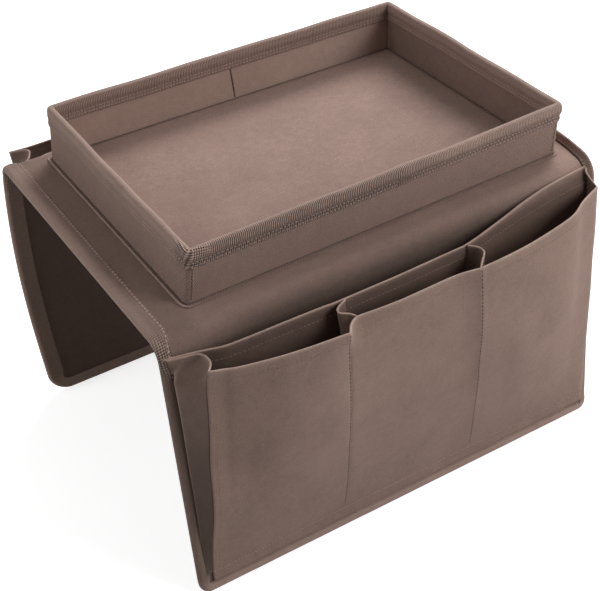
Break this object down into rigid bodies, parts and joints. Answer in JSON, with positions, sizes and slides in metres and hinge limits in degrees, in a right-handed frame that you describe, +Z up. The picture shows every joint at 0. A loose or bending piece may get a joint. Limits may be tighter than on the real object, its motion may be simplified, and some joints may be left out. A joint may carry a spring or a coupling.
{
  "type": "recliner armrest organizer",
  "caption": "Armrest saddle with a soft open tray on top and a hinged, stiffened flap on each side carrying pleated accordion pockets in front of a full-width sleeve.",
  "frame": {"origin": "centre of the outline in plan, on the level of the flaps' bottom edges", "axes": "+X along the armrest and the organizer's length, +Y across it towards the far flap, +Z up"},
  "size_m": [0.342, 0.3218, 0.2366],
  "materials": {
    "cover_cloth": "taupe brown twill-woven polyester, matt",
    "pocket_cloth": "the same cloth with hemmed upper edges",
    "lining_cloth": "darker plain-woven lining, matt",
    "binding_tape": "ribbed grosgrain tape with a slight sheen",
    "stiffener": "plain grey-brown board, hidden inside the cloth"
  },
  "bodies": {
    "saddle": {"top_board": "stiffener", "top_cover": "cover_cloth", "top_lining": "lining_cloth", "top_binding_left": "binding_tape", "top_binding_right": "binding_tape", "tray_outer_cover": "cover_cloth", "tray_near_board": "stiffener", "tray_far_board": "stiffener", "tray_left_board": "stiffener", "tray_right_board": "stiffener", "tray_floor_board": "stiffener", "tray_wall_lining": "lining_cloth", "tray_floor_lining": "lining_cloth", "tray_rim_binding": "binding_tape"},
    "near_flap": {"near_flap_board": "stiffener", "near_flap_cover": "cover_cloth", "near_flap_lining": "lining_cloth", "near_flap_edge_binding": "binding_tape", "near_flap_rear_sleeve": "pocket_cloth", "near_flap_front_panel": "cover_cloth", "near_flap_gusset_left": "pocket_cloth", "near_flap_gusset_right": "pocket_cloth", "near_flap_divider_left": "pocket_cloth", "near_flap_divider_right": "pocket_cloth"},
    "far_flap": {"far_flap_board": "stiffener", "far_flap_cover": "cover_cloth", "far_flap_lining": "lining_cloth", "far_flap_edge_binding": "binding_tape", "far_flap_rear_sleeve": "pocket_cloth", "far_flap_front_panel": "cover_cloth", "far_flap_gusset_left": "pocket_cloth", "far_flap_gusset_right": "pocket_cloth", "far_flap_divider_left": "pocket_cloth", "far_flap_divider_right": "pocket_cloth"}
  },
  "joints": [
    {"name": "near_flap_fold", "type": "hinge", "parent": "saddle", "child": "near_flap", "pos_m": [0, -0.1134, 0.192], "axis": [-1, 0, 0], "range_deg": [-96, 83]},
    {"name": "far_flap_fold", "type": "hinge", "parent": "saddle", "child": "far_flap", "pos_m": [0, 0.1162, 0.192], "axis": [1, 0, 0], "range_deg": [-66, 96]}
  ]
}
